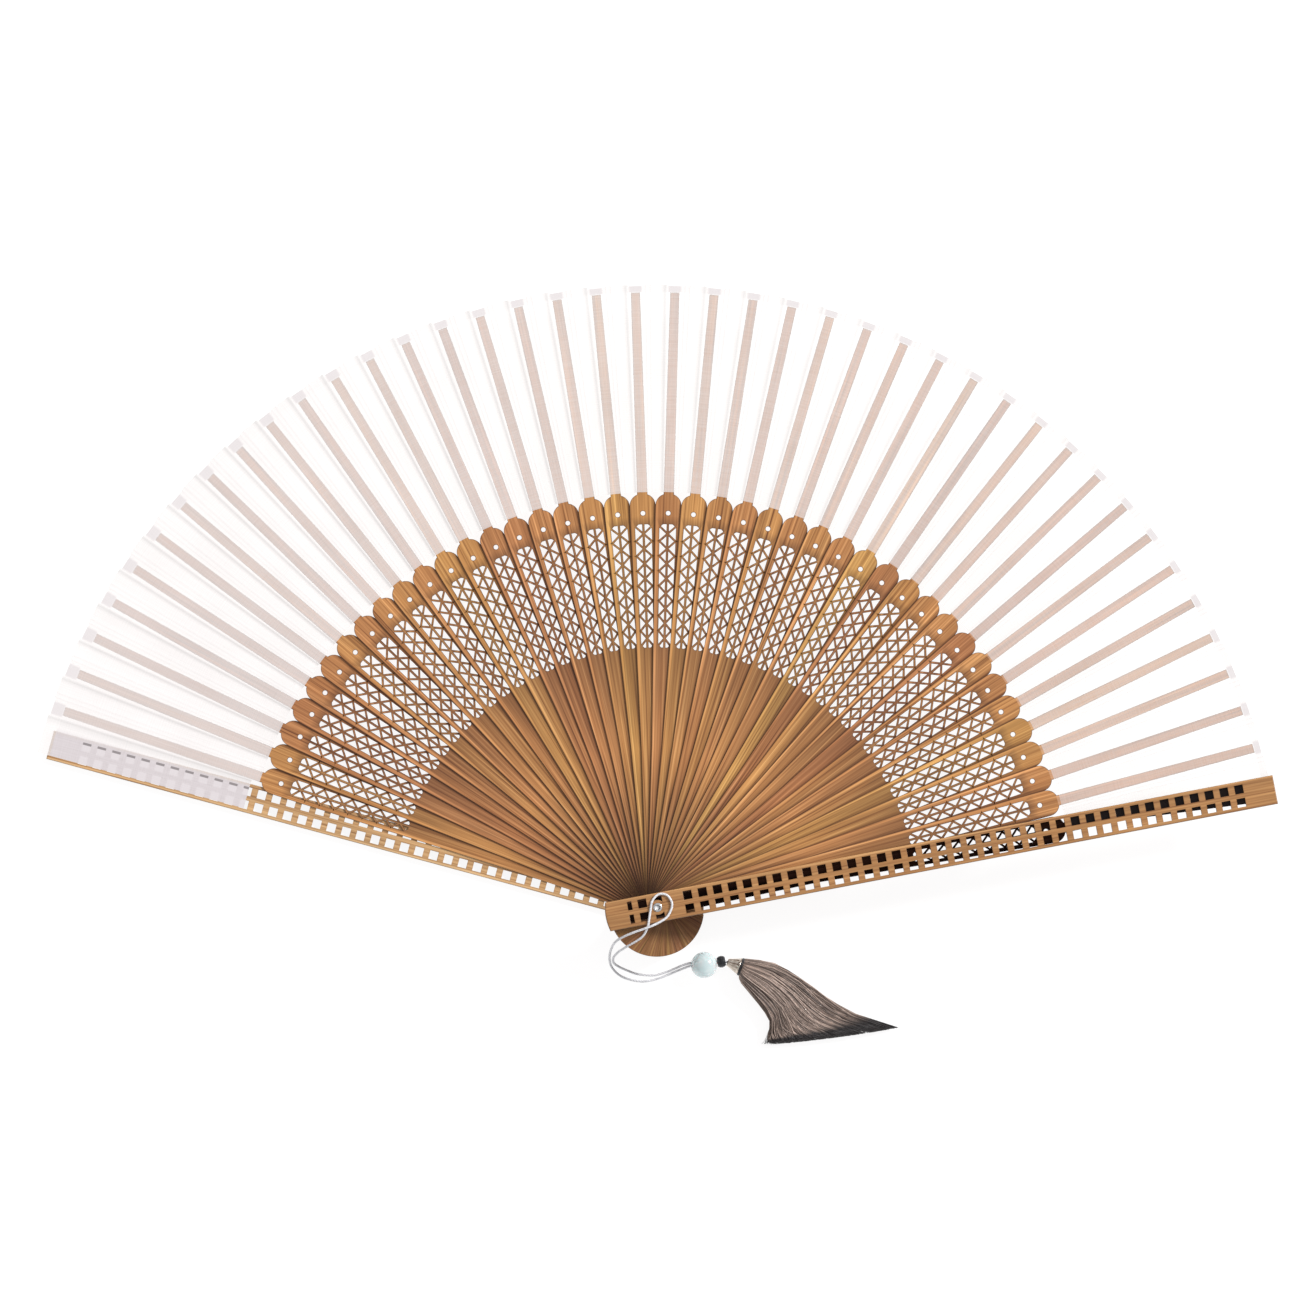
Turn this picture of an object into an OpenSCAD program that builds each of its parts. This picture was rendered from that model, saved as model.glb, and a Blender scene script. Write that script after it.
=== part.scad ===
// Folding fan with pierced bamboo ribs, a silk leaf and a tassel, lying open on its rear guard.
// The origin is on the pivot axis at the surface that the fan lies on. +Z is up through the stack.
// Each rib lies on its left neighbour, so the stack climbs clockwise from the rear guard to the front one.

/* [Fan] */
// Direction of the front guard, anticlockwise from +X
front_angle = 10.95; // [0:0.05:20]
// Angle from the front guard to the last rib
front_gap = 4.15; // [3.8:0.05:4.5]
// Angle from one rib to the next
rib_step = 3.665; // [3.4:0.005:3.7]
// Angle from the first rib to the rear guard
rear_gap = 3.3; // [3:0.05:4]
// Number of ribs that show between the guards
rib_count = 41; // [31:1:41]
// Play between two neighbours in the stack, which holds the leaf
play = 0.07; // [0.07:0.01:0.12]

/* [Guards] */
// Width of a guard
guard_w = 9; // [8.6:0.1:10]
// Thickness of a guard
guard_t = 2; // [1.5:0.1:3]
// Reach of the front guard behind the pivot
guard_head_r = 16.2; // [15.6:0.1:17]
// Reach of the rear guard behind the pivot
rear_head_r = 14.9; // [14:0.1:17]
// Reach of a guard from the pivot to its tip
guard_tip = 193.8; // [193:0.1:200]
// Side of a square window in a guard
window = 2.7; // [2:0.1:3]
// Distance from one window to the next
window_step = 4.675; // [4.5:0.005:4.7]
// Distance between the two rows of windows
row_step = 4.15; // [3.8:0.05:4.3]
// Columns of windows in front of the pivot
window_count = 38; // [20:1:38]
// Solid boss left round the eyelet
boss_r = 2.3; // [2:0.1:2.5]

/* [Ribs] */
// Thickness of a rib
rib_t = 0.369; // [0.3:0.001:0.5]
// Reach of a rib behind the pivot
head_r = 15; // [14:0.1:15.2]
// Width of a rib from its head to its waist
waist_w = 5.8; // [5.2:0.1:6.2]
// Distance of the waist's end from the pivot
waist_end = 50; // [40:1:60]
// Width of a rib at its shoulder
shoulder_w = 8; // [7.6:0.1:8.4]
// Distance of the shoulder's top from the pivot
shoulder_r = 128; // [126:0.5:128]
// Radius of the shoulder's corners
corner_r = 3.6; // [3:0.1:3.7]
// Width of the strip above the shoulder, at its foot
strip_foot_w = 3.2; // [2.8:0.1:3.4]
// Width of the strip at its end
strip_end_w = 2.8; // [2:0.1:3]
// Reach of the strip
strip_r = 190.3; // [188:0.1:191]
// Extra reach of the strip for each degree left of long_from
strip_growth = 0.035; // [0:0.005:0.035]
// Diameter of the small hole in the shoulder
eye_d = 1.45; // [1:0.05:1.8]
// Distance of the small hole from the pivot
eye_r = 122; // [121.5:0.5:123]

/* [Backing rib] */
// Angle from the front guard to the rib hidden under it
backing_gap = 0.3; // [0.2:0.05:0.6]
// How far the backing rib's right side is cut back at its waist
cut_back = 0.95; // [0:0.05:1]
// How far the end of its strip leans to the left
strip_lean = 1.3; // [0:0.1:1.3]

/* [Lattice] */
// Distance of the first crossing from the pivot
cross_start = 83.3; // [82:0.1:84]
// Distance from one crossing to the next
cross_step = 4.615; // [4.4:0.005:4.62]
// Number of crossings on the centre bar
cross_count = 8; // [4:1:8]
// Width of the centre bar
centre_bar = 0.76; // [0.4:0.02:0.8]
// Width of a slanting bar
slant_bar = 0.68; // [0.4:0.02:0.7]
// Reach of the windows from the rib's axis at the first crossing
reach_start = 1.9; // [1.8:0.05:2.2]
// Reach of the windows at the last crossing
reach_end = 2.55; // [2.4:0.05:2.9]

/* [Leaf] */
// Inner edge of the silk
leaf_in = 128.5; // [128.3:0.1:130]
// Outer edge of the silk
leaf_out = 192.7; // [191.5:0.1:192.9]
// Extra reach of the silk for each degree left of long_from
leaf_growth = 0.06; // [0:0.005:0.06]
// Thickness of the silk
leaf_t = 0.05; // [0.03:0.01:0.05]
// Width of the rear guard's outer edge left bare by the silk
bare_edge = 1.2; // [0.8:0.1:2]
// Direction past which the fan is cut a little longer, anticlockwise from +X
long_from = 95; // [80:5:140]

/* [Eyelet] */
// Radius of the eyelet's hole
hole_r = 0.75; // [0.6:0.05:0.8]
// Outer radius of the eyelet's tube
tube_r = 1; // [0.9:0.05:1.2]
// Radius of the eyelet's rim and of its washer
rim_r = 1.4; // [1.3:0.05:1.7]
// Thickness of the rim and of the washer
rim_t = 0.3; // [0.2:0.05:0.4]

/* [Tassel] */
// Diameter of the cord
cord_d = 0.8; // [0.6:0.05:0.8]
// Radius of the large bead
bead_r = 4.1; // [3.8:0.05:4.1]
// Radius of the small bead
small_bead_r = 1.85; // [1.5:0.05:2]
// Radius of the cap's small end
cap_small_r = 1.2; // [1:0.05:1.4]
// Radius of the cap's wide end
cap_wide_r = 2.6; // [2.4:0.05:2.8]
// Length of the cap
cap_len = 4.1; // [3.8:0.1:4.3]

/* [Hidden] */
function rib_name(i) = str("rib_", i < 10 ? "0" : "", i);
backing = rib_count + 1;
fit_play = 0.05;
rib_pitch = rib_t + play;
first_rib_z = guard_t + play;
front_z = first_rib_z + backing * rib_pitch;
stack_top = front_z + guard_t;
first_window = 9.77;
rear_angle = rib_angle(1) + rear_gap;
leaf_lift = (play - leaf_t) / 2;
rear_leaf_in = 131;
rise_from = 1.6;
rise_to = 0.95;
bead_at = [15, -17.4, 4.1];
small_bead_at = [20.3, -16.4, 3.9];
small_bead_half = 1.25;
cap_at = [22.18, -16.5, 3.7];
cap_angle = -19.2;
cap_wall = 0.5;
ring_r = 2.85;
ring_len = 0.6;
skirt_gap = 0.02;
skirt_foot = cap_at + (cap_len + ring_len + skirt_gap) * [cos(cap_angle), sin(cap_angle), 0];
skirt_sides = 12;

// Middle of a cut across the skirt, its half width, its half height and the direction of the cut
skirt_cuts = [
  [skirt_foot, 2.6, 2.6, 70.8], [[27.6, -19.3, 3.7], 3.8, 3.6, 74],
  [[34.3, -23.1, 3.3], 6.7, 3.2, 69], [[40.0, -28.0, 2.8], 8.1, 2.7, 55],
  [[43.6, -32.9, 2.4], 10.7, 2.3, 33], [[47.8, -36.5, 2.0], 14.6, 1.9, 16],
  [[54.0, -39.2, 1.7], 21.3, 1.6, 7]];

// Route of the cord: out of the large bead, up over the heads, round the eyelet and back
cord_route = [
  [10.85, -17.72, 4.1], [8.8, -18.4, 3.2], [6.1, -19.5, 1.4], [3.8, -20.5, 0.5],
  [1.0, -21.6, 0.4], [-3.3, -22.5, 0.4], [-7.2, -22.1, 0.4], [-10.6, -20.9, 0.4],
  [-13.0, -18.8, 0.6], [-14.1, -16.6, 2.6], [-14.3, -14.4, 8.0], [-13.8, -12.2, 14.6],
  [-12.9, -10.6, 19.4], [-11.0, -9.3, 21.6], [-7.6, -7.8, 22.8], [-2.8, -6.1, 23.8],
  [0.1, -4.8, 23.4], [2.7, -3.1, 22.98], [4.0, -1.0, 22.95], [4.4, 1.3, 22.95],
  [3.2, 3.5, 22.95], [1.3, 4.2, 22.95], [-0.5, 3.5, 22.95], [-1.8, 1.6, 22.95],
  [-2.2, -0.9, 22.95], [-2.6, -3.5, 22.96], [-3.1, -6.1, 22.85], [-4.9, -9.2, 21.7],
  [-10.0, -12.4, 19.3], [-11.9, -13.7, 14.5], [-13.1, -15.2, 8.0], [-13.0, -16.6, 2.8],
  [-11.6, -17.8, 0.6], [-8.3, -19.3, 0.4], [-5.2, -20.3, 0.4], [-0.4, -20.6, 0.4],
  [3.3, -19.6, 0.55], [5.8, -18.6, 1.4], [8.4, -17.5, 3.2], [10.85, -16.88, 4.1]];

function rib_angle(i) = i == backing ? front_angle + backing_gap
  : front_angle + front_gap + (rib_count - i) * rib_step;
function past_long(a) = max(0, a - long_from);
function rib_z(i) = first_rib_z + (i - 1) * rib_pitch;
function polar(r, a) = [r * cos(a), r * sin(a)];
function on_guard(u, v, a) = [u * cos(a) - v * sin(a), u * sin(a) + v * cos(a)];
function backwards(list) = [for (i = [len(list) - 1 : -1 : 0]) list[i]];
function flipped(points) = [for (p = points) [p.x, -p.y]];
function both_sides(side) = concat(side, backwards(flipped(side)));
function unit(v) = v / norm(v);

// Half of the arc about the pivot that ends a piece of half width w behind it
function head_arc(r, w) = [for (k = [1 : 2 : 9]) polar(r, 180 - asin(w / r) * k / 9)];

// --- Guards ---

function guard_side(head) = concat(head_arc(head, guard_w / 2), [[guard_tip, guard_w / 2]]);

module window_pair(u, width) {
  for (side = [-1, 1])
    translate([u - width / 2, side * row_step / 2 - window / 2]) square([width, window]);
}

module guard_windows() {
  for (k = [0 : window_count - 1]) window_pair(first_window + k * window_step, window);
  window_pair(first_window - 3 * window_step - 0.15, window);
  window_pair(first_window - 4 * window_step + 0.6, window / 2);
  difference() {
    window_pair(first_window - 2 * window_step, window);
    circle(r = boss_r, $fn = 48);
  }
}

module guard(head) {
  linear_extrude(guard_t) difference() {
    polygon(both_sides(guard_side(head)));
    guard_windows();
  }
}

module rear_guard() {
  color("#c8a06e") rotate(rear_angle) difference() {
    guard(rear_head_r);
    translate([0, 0, -1]) cylinder(r = tube_r + fit_play, h = guard_t + 2, $fn = 48);
    translate([0, 0, -1]) cylinder(r = rim_r + fit_play, h = rim_t + fit_play + 1, $fn = 48);
  }
}

module front_guard() {
  color("#c8a06e") translate([0, 0, front_z]) rotate(front_angle) difference() {
    guard(guard_head_r);
    translate([0, 0, -1]) cylinder(r = tube_r, h = guard_t + 2, $fn = 48);
  }
}

// --- Ribs ---

corner_u = shoulder_r - corner_r;
corner_v = shoulder_w / 2 - corner_r;
corner_turn = acos((strip_foot_w / 2 - corner_v) / corner_r);
corner_arc = [for (k = [0 : 8]) let (t = corner_turn * k / 8)
  [corner_u + corner_r * sin(t), corner_v + corner_r * cos(t)]];
function rib_side(i, cut, lean) = concat(head_arc(head_r, waist_w / 2),
  [[waist_end, waist_w / 2 - cut], [corner_u - corner_r, shoulder_w / 2]], corner_arc,
  [[strip_r + strip_growth * past_long(rib_angle(i)), strip_end_w / 2 + lean]]);
function rib_outline(i) = let (cut = i == backing ? cut_back : 0, lean = i == backing ? strip_lean : 0)
  concat(rib_side(i, 0, lean), backwards(flipped(rib_side(i, cut, -lean))));

function cross_u(k) = cross_start + k * cross_step;
function reach(k) = reach_start + (reach_end - reach_start) * k / (cross_count - 1);
function slant_play(r) = slant_bar / 2 * norm([cross_step / 2, r]);

// A window with its point at a crossing and its base by the rib's edge
module inward_window(k) {
  r = reach(k);
  half = cross_step / 2 - slant_play(r) / r;
  point = slant_play(r) / (cross_step / 2);
  polygon([[cross_u(k), point], [cross_u(k) + half, r], [cross_u(k) - half, r]]);
}

// A window with its base on the centre bar, clipped to the length of the lattice
module outward_window(k) {
  r = reach(k + 0.5);
  u = cross_u(k + 0.5);
  half = cross_step / 2 * (1 - centre_bar / 2 / r) - slant_play(r) / r;
  point = r - slant_play(r) / (cross_step / 2);
  clip = 0.42 * half;
  shown = point * 0.66;
  if (k < 0)
    polygon([[u - clip, centre_bar / 2], [u + half, centre_bar / 2], [u, point],
      [u - clip * 0.6, point * 0.85], [u - clip, shown]]);
  else if (k > cross_count - 2)
    polygon([[u + clip, centre_bar / 2], [u + clip, shown], [u + clip * 0.6, point * 0.85],
      [u, point], [u - half, centre_bar / 2]]);
  else
    polygon([[u - half, centre_bar / 2], [u + half, centre_bar / 2], [u, point]]);
}

module lattice_side() {
  for (k = [0 : cross_count - 1]) inward_window(k);
  for (k = [-1 : cross_count - 1]) outward_window(k);
}

module rib(i) {
  shade = 0.9 + 0.1 * cos(i * 137);
  color([0.75 * shade, 0.55 * shade, 0.33 * shade])
    translate([0, 0, rib_z(i)]) rotate(rib_angle(i)) difference() {
      linear_extrude(rib_t) difference() {
        polygon(rib_outline(i));
        lattice_side();
        mirror([0, 1]) lattice_side();
      }
      translate([0, 0, -1]) cylinder(r = tube_r + fit_play, h = rib_t + 2, $fn = 48);
      translate([eye_r, 0, -1]) cylinder(d = eye_d, h = rib_t + 2, $fn = 32);
    }
}

// --- Leaf: flat on each rib's strip, rising just before the next one ---

function leaf_z(i) = (i == 0 ? guard_t : rib_z(i) + rib_t) + leaf_lift;
function leaf_edge(a) = leaf_out + leaf_growth * past_long(a);
function leaf_line(a, z) = [polar(leaf_in, a), polar(leaf_edge(a), a), z];
rear_edge = guard_w / 2 - bare_edge;
front_edge_in = 0.5;
front_edge_out = -3.2;
leaf_lines = concat(
  [[on_guard(rear_leaf_in, rear_edge, rear_angle),
    on_guard(leaf_edge(rear_angle), rear_edge, rear_angle), leaf_z(0)]],
  [for (i = [1 : backing]) each [
    leaf_line(rib_angle(i) + rise_from, leaf_z(i - 1)), leaf_line(rib_angle(i) + rise_to, leaf_z(i))]],
  [[on_guard(leaf_in, front_edge_in, front_angle),
    on_guard(leaf_out, front_edge_out, front_angle), leaf_z(backing)]]);

module silk_leaf() {
  lines = leaf_lines;
  last = len(lines) - 1;
  points = [for (s = lines) each [[s[0].x, s[0].y, s[2]], [s[1].x, s[1].y, s[2]],
    [s[1].x, s[1].y, s[2] + leaf_t], [s[0].x, s[0].y, s[2] + leaf_t]]];
  faces = concat(
    [for (s = [0 : last - 1], c = [0 : 3]) each let (a = 4 * s + c, b = 4 * s + (c + 1) % 4)
      [[a, b, b + 4], [a, b + 4, a + 4]]],
    [[3, 2, 1, 0], [4 * last, 4 * last + 1, 4 * last + 2, 4 * last + 3]]);
  color("#f4f0ee") polyhedron(points, faces);
}

// --- Eyelet ---

module ring(outer, inner, height) {
  difference() {
    cylinder(r = outer, h = height, $fn = 48);
    translate([0, 0, -1]) cylinder(r = inner, h = height + 2, $fn = 48);
  }
}

module eyelet() {
  color("silver") difference() {
    union() {
      cylinder(r = tube_r, h = stack_top + rim_t, $fn = 48);
      translate([0, 0, stack_top]) cylinder(r = rim_r, h = rim_t, $fn = 48);
    }
    translate([0, 0, -1]) cylinder(r = hole_r, h = stack_top + rim_t + 2, $fn = 48);
  }
}

module eyelet_washer() {
  color("silver") ring(rim_r, tube_r, rim_t);
}

// --- Tassel ---

function between(a, b, c, d) = (9 * (b + c) - a - d) / 16;
function route_at(i) = cord_route[max(0, min(len(cord_route) - 1, i))];
cord_line = [for (i = [0 : len(cord_route) - 1]) each i == len(cord_route) - 1 ? [route_at(i)]
  : [route_at(i), between(route_at(i - 1), route_at(i), route_at(i + 1), route_at(i + 2))]];

module sweep(line, r, sides) {
  last = len(line) - 1;
  points = [for (i = [0 : last])
    let (t = unit(line[min(i + 1, last)] - line[max(i - 1, 0)]), n = unit(cross(t, [0, 0, 1])),
      b = cross(n, t))
    for (k = [0 : sides - 1]) line[i] + r * (cos(360 * k / sides) * n + sin(360 * k / sides) * b)];
  faces = concat(
    [for (i = [0 : last - 1], k = [0 : sides - 1])
      each let (a = i * sides + k, b = i * sides + (k + 1) % sides)
        [[a, a + sides, b + sides], [a, b + sides, b]]],
    [[for (k = [0 : sides - 1]) k], [for (k = [sides - 1 : -1 : 0]) last * sides + k]]);
  polyhedron(points, faces);
}

module tassel_cord() {
  color("#e8e8ec") sweep(cord_line, cord_d / 2, 8);
}

module aqua_bead() {
  color("#b9dde2") translate(bead_at) sphere(r = bead_r, $fn = 64);
}

module black_bead() {
  color("#15181c") translate(small_bead_at) rotate([0, 90, 10.7]) intersection() {
    sphere(r = small_bead_r, $fn = 48);
    cube([4 * small_bead_r, 4 * small_bead_r, 2 * small_bead_half], center = true);
  }
}

module along_cap(distance) {
  translate(cap_at) rotate([0, 90, cap_angle]) translate([0, 0, distance]) children();
}

module tassel_cap() {
  color("#c9b9a8") along_cap(0) difference() {
    cylinder(r1 = cap_small_r, r2 = cap_wide_r, h = cap_len, $fn = 48);
    translate([0, 0, cap_wall])
      cylinder(r1 = cap_small_r - cap_wall / 2, r2 = cap_wide_r - cap_wall, h = cap_len, $fn = 48);
  }
}

module cap_ring() {
  color("#2c2a30") along_cap(cap_len) cylinder(r = ring_r, h = ring_len, $fn = 48);
}

function cut_points(c) = [for (k = [0 : skirt_sides - 1]) let (a = 360 * k / skirt_sides)
  c[0] + c[1] * cos(a) * [cos(c[3]), sin(c[3]), 0] + [0, 0, c[2] * sin(a)]];

module tassel_skirt() {
  n = skirt_sides;
  last = len(skirt_cuts) - 1;
  points = [for (c = skirt_cuts) each cut_points(c)];
  faces = concat(
    [for (s = [0 : last - 1], k = [0 : n - 1]) each let (a = s * n + k, b = s * n + (k + 1) % n)
      [[a, b, b + n], [a, b + n, a + n]]],
    [[for (k = [n - 1 : -1 : 0]) k], [for (k = [0 : n - 1]) last * n + k]]);
  color("#8d8580") polyhedron(points, faces);
}

rear_guard();
for (i = [1 : backing])
  rib(i);
silk_leaf();
front_guard();
eyelet();
eyelet_washer();
tassel_cord();
aqua_bead();
black_bead();
tassel_cap();
cap_ring();
tassel_skirt();
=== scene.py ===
import math
import random
import bmesh
import bpy
from mathutils import Matrix, Vector
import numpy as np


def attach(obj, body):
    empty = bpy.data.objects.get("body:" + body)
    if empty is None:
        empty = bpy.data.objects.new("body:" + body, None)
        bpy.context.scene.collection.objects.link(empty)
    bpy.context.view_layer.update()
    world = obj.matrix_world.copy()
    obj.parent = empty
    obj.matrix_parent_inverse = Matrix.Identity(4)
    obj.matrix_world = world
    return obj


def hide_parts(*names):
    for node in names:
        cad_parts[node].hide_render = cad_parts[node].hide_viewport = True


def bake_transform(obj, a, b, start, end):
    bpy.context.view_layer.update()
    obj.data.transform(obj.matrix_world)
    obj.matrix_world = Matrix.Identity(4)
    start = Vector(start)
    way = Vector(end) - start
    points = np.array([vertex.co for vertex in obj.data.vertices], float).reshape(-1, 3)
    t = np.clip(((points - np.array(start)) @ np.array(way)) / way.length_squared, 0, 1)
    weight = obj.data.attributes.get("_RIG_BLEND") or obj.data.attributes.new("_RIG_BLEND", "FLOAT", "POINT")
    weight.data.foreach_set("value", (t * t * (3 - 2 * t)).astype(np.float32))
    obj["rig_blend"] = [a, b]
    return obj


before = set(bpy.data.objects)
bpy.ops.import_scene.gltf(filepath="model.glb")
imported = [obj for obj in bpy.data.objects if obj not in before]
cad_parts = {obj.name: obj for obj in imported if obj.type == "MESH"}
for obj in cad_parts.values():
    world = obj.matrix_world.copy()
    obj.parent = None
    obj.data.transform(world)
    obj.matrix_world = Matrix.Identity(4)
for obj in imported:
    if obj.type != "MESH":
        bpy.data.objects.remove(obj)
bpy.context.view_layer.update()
mm = 0.001
fullTurn = 2 * math.pi


# Small helpers for shapes

def newPiece(name, bm, material, smooth=False):
    mesh = bpy.data.meshes.new(name)
    bm.to_mesh(mesh)
    bm.free()
    for face in mesh.polygons:
        face.use_smooth = smooth
    mesh.materials.append(material)
    piece = bpy.data.objects.new(name, mesh)
    bpy.context.scene.collection.objects.link(piece)
    return piece


def settle(piece, body, slotName, *nodes):
    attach(piece, body)
    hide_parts(*nodes)
    return piece


def polar(radius, degrees):
    turn = math.radians(degrees)
    return Vector((radius * math.cos(turn), radius * math.sin(turn), 0.0))


def onGuard(along, across, degrees):
    return polar(along, degrees) + polar(across, degrees + 90)


def splinePoint(a, b, c, d, t):   # a point between b and c on the smooth curve through all four
    return 0.5 * (2 * b + (c - a) * t + (2 * a - 5 * b + 4 * c - d) * t * t
                  + (3 * b - 3 * c + d - a) * t ** 3)


# Small helpers for materials

def newMaterial(name):
    material = bpy.data.materials.new(name)
    material.use_nodes = True
    tree = material.node_tree
    return material, tree, tree.nodes["Principled BSDF"]


def feed(tree, node, inputs):   # a socket is linked, any other value is set
    for key, value in inputs.items():
        if isinstance(value, bpy.types.NodeSocket):
            tree.links.new(value, node.inputs[key])
        else:
            node.inputs[key].default_value = value


def addNode(tree, kind, inputs, **settings):
    node = tree.nodes.new(kind)
    for key, value in settings.items():
        setattr(node, key, value)
    feed(tree, node, inputs)
    return node


def maths(tree, operation, *inputs, **settings):
    node = addNode(tree, "ShaderNodeMath", dict(enumerate(inputs)), operation=operation, **settings)
    return node.outputs["Value"]


def noise(tree, vector, scale, detail, **others):
    inputs = {"Vector": vector, "Scale": scale, "Detail": detail, **others}
    return addNode(tree, "ShaderNodeTexNoise", inputs).outputs["Fac"]


def stretchedNoise(tree, vector, scale, detail, **others):
    stretch = addNode(tree, "ShaderNodeMapping", {"Vector": vector, "Scale": scale})
    return noise(tree, stretch.outputs["Vector"], 1.0, detail, **others)


def attribute(tree, name):
    return addNode(tree, "ShaderNodeAttribute", {}, attribute_name=name).outputs["Fac"]


def uvMap(tree, name):
    return addNode(tree, "ShaderNodeUVMap", {}, uv_map=name).outputs["UV"]


def objectPlace(tree):
    return addNode(tree, "ShaderNodeTexCoord", {}).outputs["Object"]


def ramp(tree, source, stops):
    node = addNode(tree, "ShaderNodeValToRGB", {"Fac": source})
    elements = node.color_ramp.elements
    while len(elements) < len(stops):
        elements.new(0.5)
    for element, (place, colour) in zip(elements, stops):
        element.position = place
        element.color = (*colour, 1.0)
    return node.outputs["Color"]


def greyRamp(tree, source, low, high, dark=0.0, light=1.0):
    return ramp(tree, source, [(low, (dark,) * 3), (high, (light,) * 3)])


def mixed(tree, factor, first, second, blend="MIX"):
    node = addNode(tree, "ShaderNodeMix", {}, data_type="RGBA", blend_type=blend)
    colours = [(*value, 1.0) if isinstance(value, tuple) else value for value in (first, second)]
    feed(tree, node, {0: factor, 6: colours[0], 7: colours[1]})   # 6 and 7 are the two colours
    return node.outputs[2]


def multiplied(tree, colour, factor):
    return mixed(tree, 1.0, colour, factor, "MULTIPLY")


def bumped(tree, shader, height, strength, depth):
    bump = addNode(tree, "ShaderNodeBump", {"Height": height, "Strength": strength, "Distance": depth})
    feed(tree, shader, {"Normal": bump.outputs["Normal"]})


# The fan's layout, as the CAD has it

fan = dict(frontAngle=10.95, frontGap=4.15, ribStep=3.665, rearGap=3.3,   # degrees
           backingGap=0.3, longFrom=95.0, ribCount=41,
           guardThick=2.0, ribThick=0.369, play=0.07, stripEnd=190.3, stripGrowth=0.035,   # millimetres
           leafIn=128.5, leafOut=192.7, leafGrowth=0.06)
backing = fan["ribCount"] + 1   # the rib hidden under the front guard
ribs = range(1, backing + 1)


def ribAngle(index):
    if index == backing:
        return fan["frontAngle"] + fan["backingGap"]
    return fan["frontAngle"] + fan["frontGap"] + (fan["ribCount"] - index) * fan["ribStep"]


rearAngle = ribAngle(1) + fan["rearGap"]


def ribTop(index):   # 0 is the rear guard
    return fan["guardThick"] + index * (fan["ribThick"] + fan["play"])


def extraReach(growth, degrees):   # the fan grows a little longer towards the rear guard
    return growth * max(0.0, degrees - fan["longFrom"])


# Camera: nearly straight above and far off, so that the fan shows hardly any perspective

view = dict(centre=(-2.11, 79.68, 10.0), distance=3230.0, width=401.4, sensor=36.0, farEnd=20.0,
            yaw=1.75, pitch=2.39, roll=0.11)   # width: what the view spans, in millimetres


def rotation(degrees, axis):
    return Matrix.Rotation(math.radians(degrees), 4, axis)


def makeCamera():
    data = bpy.data.cameras.new("camera")
    data.sensor_width = view["sensor"]
    data.lens = view["sensor"] * view["distance"] / view["width"]
    data.clip_end = view["farEnd"]
    camera = bpy.data.objects.new("camera", data)
    bpy.context.scene.collection.objects.link(camera)
    turn = rotation(-view["yaw"], "Y") @ rotation(view["pitch"], "X")
    centre = Matrix.Translation(Vector(view["centre"]) * mm)
    back = Matrix.Translation(Vector((0, 0, view["distance"] * mm)))
    camera.matrix_world = centre @ turn @ rotation(view["roll"], "Z") @ back
    bpy.context.scene.camera = camera


makeCamera()
print("camera: set")


# Silk cord: out of the bead, up over the heads, round the eyelet and back

cordRoute = [
    (10.85, -17.72, 4.1), (8.8, -18.4, 3.2), (6.1, -19.5, 1.4), (3.8, -20.5, 0.5),
    (1.0, -21.6, 0.4), (-3.3, -22.5, 0.4), (-7.2, -22.1, 0.4), (-10.6, -20.9, 0.4),
    (-13.0, -18.8, 0.6), (-14.1, -16.6, 2.6), (-14.3, -14.4, 8.0), (-13.8, -12.2, 14.6),
    (-12.9, -10.6, 19.4), (-11.0, -9.3, 21.6), (-7.6, -7.8, 22.8), (-2.8, -6.1, 23.8),
    (0.1, -4.8, 23.4), (2.7, -3.1, 22.98), (4.0, -1.0, 22.95), (4.4, 1.3, 22.95),
    (3.2, 3.5, 22.95), (1.3, 4.2, 22.95), (-0.5, 3.5, 22.95), (-1.8, 1.6, 22.95),
    (-2.2, -0.9, 22.95), (-2.6, -3.5, 22.96), (-3.1, -6.1, 22.85), (-4.9, -9.2, 21.7),
    (-10.0, -12.4, 19.3), (-11.9, -13.7, 14.5), (-13.1, -15.2, 8.0), (-13.0, -16.6, 2.8),
    (-11.6, -17.8, 0.6), (-8.3, -19.3, 0.4), (-5.2, -20.3, 0.4), (-0.4, -20.6, 0.4),
    (3.3, -19.6, 0.55), (5.8, -18.6, 1.4), (8.4, -17.5, 3.2), (10.85, -16.88, 4.1)]
cordInBead = [(12.6, -17.7, 4.1)]   # the start, hidden in the bead's bore
cordToTassel = [(13.5, -17.15, 4.1), (16.5, -17.05, 4.0), (19.4, -16.6, 3.93), (20.9, -16.4, 3.87),
                (22.3, -16.54, 3.72), (24.4, -17.27, 3.7)]   # on through both beads into the cap
cordLook = dict(diameter=0.8, steps=9, sides=12, plies=3, groove=0.13, twist=2.6,   # twist: one turn's length
                exit=(0.0, -0.0014, 0.0225), fibreScale=(900.0, 6.0, 1.0), fibreDepth=0.0001,
                colours=[(0.35, (0.55, 0.55, 0.58)), (0.6, (0.85, 0.85, 0.88))],
                rough=0.32, shine=0.7, sheen=0.3)


def smoothLine(points, steps):
    points = [Vector(point) * mm for point in points]
    ends = [points[0] * 2 - points[1], *points, points[-1] * 2 - points[-2]]
    line = []
    for a, b, c, d in zip(ends, ends[1:], ends[2:], ends[3:]):
        line += [splinePoint(a, b, c, d, step / steps) for step in range(steps)]
    return [*line, points[-1]]


def lineLength(line):
    return sum((b - a).length for a, b in zip(line, line[1:]))


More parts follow.
